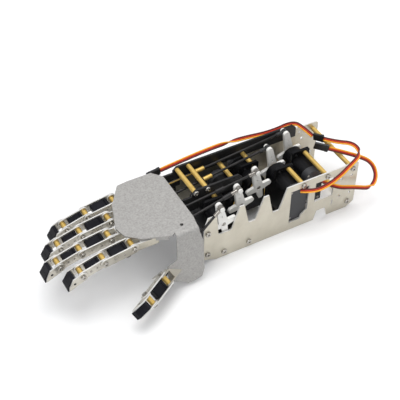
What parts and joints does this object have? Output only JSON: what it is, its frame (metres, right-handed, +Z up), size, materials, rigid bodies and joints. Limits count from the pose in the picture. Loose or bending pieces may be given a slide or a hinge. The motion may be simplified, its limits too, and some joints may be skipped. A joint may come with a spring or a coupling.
{
  "type": "robotic hand",
  "caption": "Sheet-metal robotic hand whose hinged fingers and thumb are pulled by pushrods from a row of servos held between two forearm side plates.",
  "frame": {"origin": "middle of the near side plate's lower edge, on which the forearm stands", "axes": "+X from the fingers to the rear of the forearm, +Y across to the little finger's side, +Z up out of the back of the hand"},
  "size_m": [0.3362, 0.1309, 0.067],
  "materials": {
    "satin_sheet": "satin rolled sheet, laser cut",
    "cover_sheet": "matt blasted sheet",
    "black_block": "matt black",
    "black_sheet": "black anodised",
    "steel_pin": "turned steel",
    "brass_post": "turned brass",
    "servo_case": "moulded, fine grain",
    "horn_plastic": "moulded, pale grey",
    "rod_metal": "blackened steel with plastic links",
    "plug_plastic": "moulded black",
    "lead_sleeve": "flat three-wire lead in brown, red and orange"
  },
  "bodies": {
    "forearm": {"far_lead": "lead_sleeve", "far_side_plate": "satin_sheet", "far_wrist_beam": "black_sheet", "frame_screws": "steel_pin", "frame_standoffs": "brass_post", "index_servo": "servo_case", "knuckle_channels": "satin_sheet", "knuckle_pins": "steel_pin", "lead_plugs": "plug_plastic", "little_servo": "servo_case", "middle_servo": "servo_case", "near_side_plate": "satin_sheet", "near_wrist_beam": "black_sheet", "palm_base": "black_sheet", "palm_cover": "cover_sheet", "rear_lead": "lead_sleeve", "ring_servo": "servo_case", "thumb_clevis": "satin_sheet", "thumb_servo": "servo_case", "window_lead": "lead_sleeve", "wrist_bracket": "black_sheet", "wrist_standoffs": "brass_post"},
    "index_first": {"index_proximal_link": "satin_sheet", "index_middle_pin": "steel_pin"},
    "index_second": {"index_middle_link": "satin_sheet", "index_tip_pin": "steel_pin"},
    "index_third": {"index_distal_plates": "satin_sheet", "index_fingertip": "black_block"},
    "middle_first": {"middle_proximal_link": "satin_sheet", "middle_middle_pin": "steel_pin"},
    "middle_second": {"middle_middle_link": "satin_sheet", "middle_tip_pin": "steel_pin"},
    "middle_third": {"middle_distal_plates": "satin_sheet", "middle_fingertip": "black_block"},
    "ring_first": {"ring_proximal_link": "satin_sheet", "ring_middle_pin": "steel_pin"},
    "ring_second": {"ring_middle_link": "satin_sheet", "ring_tip_pin": "steel_pin"},
    "ring_third": {"ring_distal_plates": "satin_sheet", "ring_fingertip": "black_block"},
    "little_first": {"little_proximal_link": "satin_sheet", "little_middle_pin": "steel_pin"},
    "little_second": {"little_middle_link": "satin_sheet", "little_tip_pin": "steel_pin"},
    "little_third": {"little_distal_plates": "satin_sheet", "little_fingertip": "black_block"},
    "thumb_first": {"thumb_link": "satin_sheet", "thumb_tip_pin": "steel_pin"},
    "thumb_second": {"thumb_tip_plates": "satin_sheet", "thumb_tip": "black_block"},
    "thumb_crank": {"thumb_horn": "horn_plastic"},
    "thumb_rod": {"thumb_pushrod": "rod_metal"},
    "index_crank": {"index_horn": "horn_plastic"},
    "index_rod": {"index_pushrod": "rod_metal"},
    "middle_crank": {"middle_horn": "horn_plastic"},
    "middle_rod": {"middle_pushrod": "rod_metal"},
    "ring_crank": {"ring_horn": "horn_plastic"},
    "ring_rod": {"ring_pushrod": "rod_metal"},
    "little_crank": {"little_horn": "horn_plastic"},
    "little_rod": {"little_pushrod": "rod_metal"}
  },
  "joints": [
    {"name": "thumb_knuckle", "type": "hinge", "parent": "forearm", "child": "thumb_first", "pos_m": [-0.133, -0.01875, 0.022], "axis": [0.3999, -0.64, -0.6561], "range_deg": [-8, 18]},
    {"name": "thumb_end_joint", "type": "hinge", "parent": "thumb_first", "child": "thumb_second", "pos_m": [-0.15573, -0.03295, 0.022], "axis": [0.3999, -0.64, -0.6561], "range_deg": [-5.62, 12.62]},
    {"name": "thumb_servo_turn", "type": "hinge", "parent": "forearm", "child": "thumb_crank", "pos_m": [-0.0625, 0.00275, 0.0395], "axis": [0, 1, 0], "range_deg": [-2.81, 6.29]},
    {"name": "thumb_rod_pivot", "type": "hinge", "parent": "thumb_crank", "child": "thumb_rod", "pos_m": [-0.0677, -0.00125, 0.06395], "axis": [0.086, 0.9657, 0.2451], "range_deg": [-6.86, 3.06]},
    {"name": "index_knuckle", "type": "hinge", "parent": "forearm", "child": "index_first", "pos_m": [-0.153, 0.00525, 0.0542], "axis": [0, -1, 0], "range_deg": [-6, 50]},
    {"name": "index_middle_joint", "type": "hinge", "parent": "index_first", "child": "index_second", "pos_m": [-0.18073, 0.00525, 0.05031], "axis": [0, -1, 0], "range_deg": [-6.62, 55.02]},
    {"name": "index_end_joint", "type": "hinge", "parent": "index_second", "child": "index_third", "pos_m": [-0.20198, 0.00525, 0.04461], "axis": [0, -1, 0], "range_deg": [-4.82, 40.02]},
    {"name": "index_servo_turn", "type": "hinge", "parent": "forearm", "child": "index_crank", "pos_m": [-0.0358, 0.01625, 0.0395], "axis": [0, 1, 0], "range_deg": [-2.28, 18.82]},
    {"name": "index_rod_pivot", "type": "hinge", "parent": "index_crank", "child": "index_rod", "pos_m": [-0.041, 0.01225, 0.06395], "axis": [0, 1, 0], "range_deg": [-19.36, 2.34]},
    {"name": "middle_knuckle", "type": "hinge", "parent": "forearm", "child": "middle_first", "pos_m": [-0.166, 0.02425, 0.0542], "axis": [0, -1, 0], "range_deg": [-6, 50]},
    {"name": "middle_middle_joint", "type": "hinge", "parent": "middle_first", "child": "middle_second", "pos_m": [-0.19373, 0.02425, 0.05031], "axis": [0, -1, 0], "range_deg": [-6.62, 55.02]},
    {"name": "middle_end_joint", "type": "hinge", "parent": "middle_second", "child": "middle_third", "pos_m": [-0.21498, 0.02425, 0.04461], "axis": [0, -1, 0], "range_deg": [-4.82, 40.02]},
    {"name": "middle_servo_turn", "type": "hinge", "parent": "forearm", "child": "middle_crank", "pos_m": [-0.0091, 0.02875, 0.0395], "axis": [0, 1, 0], "range_deg": [-2.29, 18.93]},
    {"name": "middle_rod_pivot", "type": "hinge", "parent": "middle_crank", "child": "middle_rod", "pos_m": [-0.0143, 0.02475, 0.06395], "axis": [0, 1, 0], "range_deg": [-19.33, 2.34]},
    {"name": "ring_knuckle", "type": "hinge", "parent": "forearm", "child": "ring_first", "pos_m": [-0.157, 0.04325, 0.0542], "axis": [0, -1, 0], "range_deg": [-6, 50]},
    {"name": "ring_middle_joint", "type": "hinge", "parent": "ring_first", "child": "ring_second", "pos_m": [-0.18473, 0.04325, 0.05031], "axis": [0, -1, 0], "range_deg": [-6.62, 55.02]},
    {"name": "ring_end_joint", "type": "hinge", "parent": "ring_second", "child": "ring_third", "pos_m": [-0.20598, 0.04325, 0.04461], "axis": [0, -1, 0], "range_deg": [-4.82, 40.02]},
    {"name": "ring_servo_turn", "type": "hinge", "parent": "forearm", "child": "ring_crank", "pos_m": [0.0176, 0.04525, 0.0395], "axis": [0, 1, 0], "range_deg": [-2.29, 18.96]},
    {"name": "ring_rod_pivot", "type": "hinge", "parent": "ring_crank", "child": "ring_rod", "pos_m": [0.0124, 0.04925, 0.06395], "axis": [0, 1, 0], "range_deg": [-19.32, 2.34]},
    {"name": "little_knuckle", "type": "hinge", "parent": "forearm", "child": "little_first", "pos_m": [-0.143, 0.06225, 0.0542], "axis": [0, -1, 0], "range_deg": [-6, 50]},
    {"name": "little_middle_joint", "type": "hinge", "parent": "little_first", "child": "little_second", "pos_m": [-0.17073, 0.06225, 0.05031], "axis": [0, -1, 0], "range_deg": [-6.62, 55.02]},
    {"name": "little_end_joint", "type": "hinge", "parent": "little_second", "child": "little_third", "pos_m": [-0.19198, 0.06225, 0.04461], "axis": [0, -1, 0], "range_deg": [-4.82, 40.02]},
    {"name": "little_servo_turn", "type": "hinge", "parent": "forearm", "child": "little_crank", "pos_m": [0.0443, 0.05775, 0.0395], "axis": [0, 1, 0], "range_deg": [-2.29, 18.98]},
    {"name": "little_rod_pivot", "type": "hinge", "parent": "little_crank", "child": "little_rod", "pos_m": [0.0391, 0.06175, 0.06395], "axis": [0, 1, 0], "range_deg": [-19.32, 2.33]}
  ],
  "couplings": [
    {"joint": "thumb_end_joint", "follows": "thumb_knuckle", "ratio": 0.7},
    {"joint": "thumb_servo_turn", "follows": "thumb_knuckle", "ratio": 0.3484},
    {"joint": "thumb_rod_pivot", "follows": "thumb_knuckle", "ratio": -0.38},
    {"joint": "index_middle_joint", "follows": "index_knuckle", "ratio": 1.1},
    {"joint": "index_end_joint", "follows": "index_knuckle", "ratio": 0.8},
    {"joint": "index_servo_turn", "follows": "index_knuckle", "ratio": 0.3761},
    {"joint": "index_rod_pivot", "follows": "index_knuckle", "ratio": -0.3869},
    {"joint": "middle_middle_joint", "follows": "middle_knuckle", "ratio": 1.1},
    {"joint": "middle_end_joint", "follows": "middle_knuckle", "ratio": 0.8},
    {"joint": "middle_servo_turn", "follows": "middle_knuckle", "ratio": 0.3782},
    {"joint": "middle_rod_pivot", "follows": "middle_knuckle", "ratio": -0.3862},
    {"joint": "ring_middle_joint", "follows": "ring_knuckle", "ratio": 1.1},
    {"joint": "ring_end_joint", "follows": "ring_knuckle", "ratio": 0.8},
    {"joint": "ring_servo_turn", "follows": "ring_knuckle", "ratio": 0.3788},
    {"joint": "ring_rod_pivot", "follows": "ring_knuckle", "ratio": -0.386},
    {"joint": "little_middle_joint", "follows": "little_knuckle", "ratio": 1.1},
    {"joint": "little_end_joint", "follows": "little_knuckle", "ratio": 0.8},
    {"joint": "little_servo_turn", "follows": "little_knuckle", "ratio": 0.3792},
    {"joint": "little_rod_pivot", "follows": "little_knuckle", "ratio": -0.3859}
  ]
}
